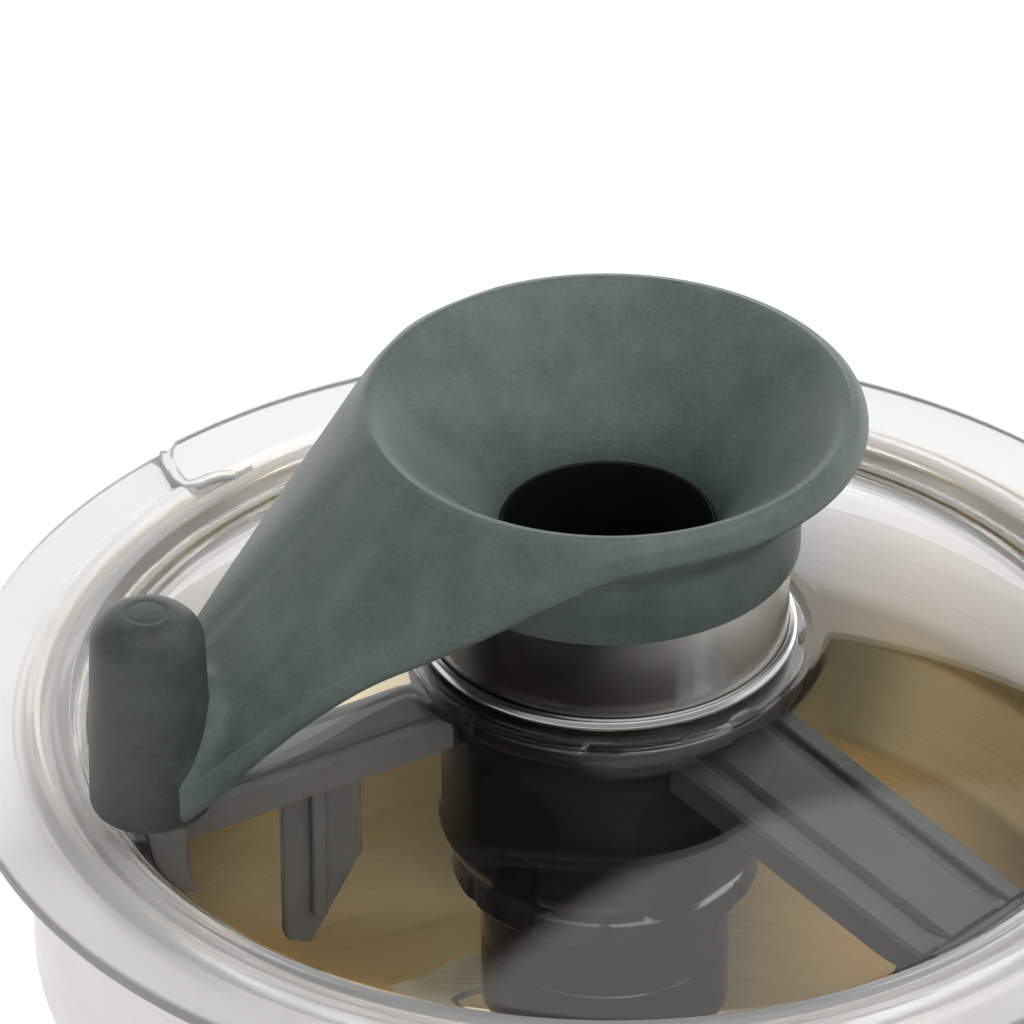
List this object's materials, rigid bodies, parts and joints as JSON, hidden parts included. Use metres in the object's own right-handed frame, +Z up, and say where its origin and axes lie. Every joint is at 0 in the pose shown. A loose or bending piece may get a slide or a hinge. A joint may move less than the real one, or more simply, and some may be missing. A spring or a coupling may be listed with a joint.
{
  "type": "cutter mixer",
  "caption": "Tabletop cutter mixer with motor base, lift-off steel bowl, bladed cutter hub, and a clear domed lid whose funnel lever turns a wall scraper.",
  "frame": {"origin": "centre of the base on the table, under the feet", "axes": "+Z up, front with the controls at -Y, bowl handle at +X"},
  "size_m": [0.28, 0.34, 0.4335],
  "materials": {
    "housing": "satin light grey enamel",
    "plate": "plain sheet",
    "foot": "matte black rubber",
    "fastener": "bright zinc",
    "seat": "cast, satin",
    "motor_casting": "as cast",
    "winding": "varnished laminations and windings",
    "bearing": "ground",
    "shaft": "ground",
    "seal": "soft black rubber",
    "silicone": "soft translucent white",
    "panel": "dark brushed plate",
    "bezel": "polished",
    "switch": "moulded",
    "board": "solder mask",
    "fan": "moulded",
    "bowl_steel": "brushed around the bowl",
    "handle": "fine grained",
    "cutter_black": "polished black",
    "bush": "turned bronze",
    "blade": "ground edge",
    "lid_clear": "clear polycarbonate",
    "collar_satin": "satin, turned",
    "funnel_green": "fine grained grey-green",
    "scraper_black": "moulded black",
    "wiper": "flexible",
    "green_button": "moulded",
    "red_button": "moulded",
    "grey_button": "moulded",
    "dial": "moulded"
  },
  "bodies": {
    "base": {"base_housing": "housing", "base_plate": "plate", "feet": "foot", "base_screws": "fastener", "bowl_seat": "seat", "motor_mount": "motor_casting", "motor_frame": "motor_casting", "motor_stator": "winding", "upper_bearing": "bearing", "lower_bearing": "bearing", "shaft_seal": "seal", "control_panel": "panel", "panel_screws": "fastener", "button_bezels": "bezel", "switch_blocks": "switch", "speed_control": "switch", "circuit_board": "board", "power_inlet": "switch"},
    "rotor": {"motor_shaft": "shaft", "rotor_core": "winding", "cooling_fan": "fan", "drive_coupling": "shaft"},
    "bowl": {"bowl": "bowl_steel", "bowl_foot": "seat", "bowl_handle": "handle", "handle_bolts": "fastener"},
    "cutter": {"cutter_hub": "cutter_black", "hub_bush": "bush", "upper_blade": "blade", "lower_blade": "blade", "blade_spacer": "cutter_black", "blade_nut": "cutter_black"},
    "lid_seal": {"lid_seal": "silicone"},
    "lid": {"lid": "lid_clear", "lid_collar": "collar_satin", "collar_nut": "lid_clear"},
    "lever": {"funnel_lever": "funnel_green", "funnel_ring": "seal", "scraper": "scraper_black", "wall_wiper_1": "wiper", "wall_wiper_2": "wiper", "wall_wiper_3": "wiper"},
    "start_button": {"start_button": "green_button"},
    "stop_button": {"stop_button": "red_button"},
    "pulse_button": {"pulse_button": "grey_button"},
    "speed_dial": {"speed_dial": "dial", "speed_spindle": "shaft"}
  },
  "joints": [
    {"name": "motor_spin", "type": "hinge", "parent": "base", "child": "rotor", "pos_m": [0, 0.032, 0], "axis": [0, 0, 1], "continuous": true},
    {"name": "bowl_lift", "type": "slide", "parent": "base", "child": "bowl", "axis": [0, 0, 1], "range_m": [0, 0.14]},
    {"name": "cutter_spin", "type": "hinge", "parent": "bowl", "child": "cutter", "pos_m": [0, 0.032, 0], "axis": [0, 0, 1], "continuous": true},
    {"name": "lid_lift", "type": "slide", "parent": "bowl", "child": "lid_seal", "axis": [0, 0, 1], "range_m": [0, 0.14]},
    {"name": "lid_turn", "type": "hinge", "parent": "lid_seal", "child": "lid", "pos_m": [0, 0.032, 0], "axis": [0, 0, 1], "range_deg": [0, 30]},
    {"name": "lever_turn", "type": "hinge", "parent": "lid", "child": "lever", "pos_m": [0, 0.032, 0], "axis": [0, 0, 1], "continuous": true},
    {"name": "start_press", "type": "slide", "parent": "base", "child": "start_button", "axis": [0, 0.8343, -0.5513], "range_m": [0, 0.003], "stiffness_N_per_m": 500},
    {"name": "stop_press", "type": "slide", "parent": "base", "child": "stop_button", "axis": [0, 0.8343, -0.5513], "range_m": [0, 0.003], "stiffness_N_per_m": 500},
    {"name": "pulse_press", "type": "slide", "parent": "base", "child": "pulse_button", "axis": [0, 0.8343, -0.5513], "range_m": [0, 0.003], "stiffness_N_per_m": 500},
    {"name": "dial_turn", "type": "hinge", "parent": "base", "child": "speed_dial", "pos_m": [-0.065, -0.12433, 0.13473], "axis": [0, -0.8343, 0.5513], "range_deg": [-135, 135]}
  ],
  "couplings": [
    {"joint": "cutter_spin", "follows": "motor_spin", "ratio": 1}
  ]
}
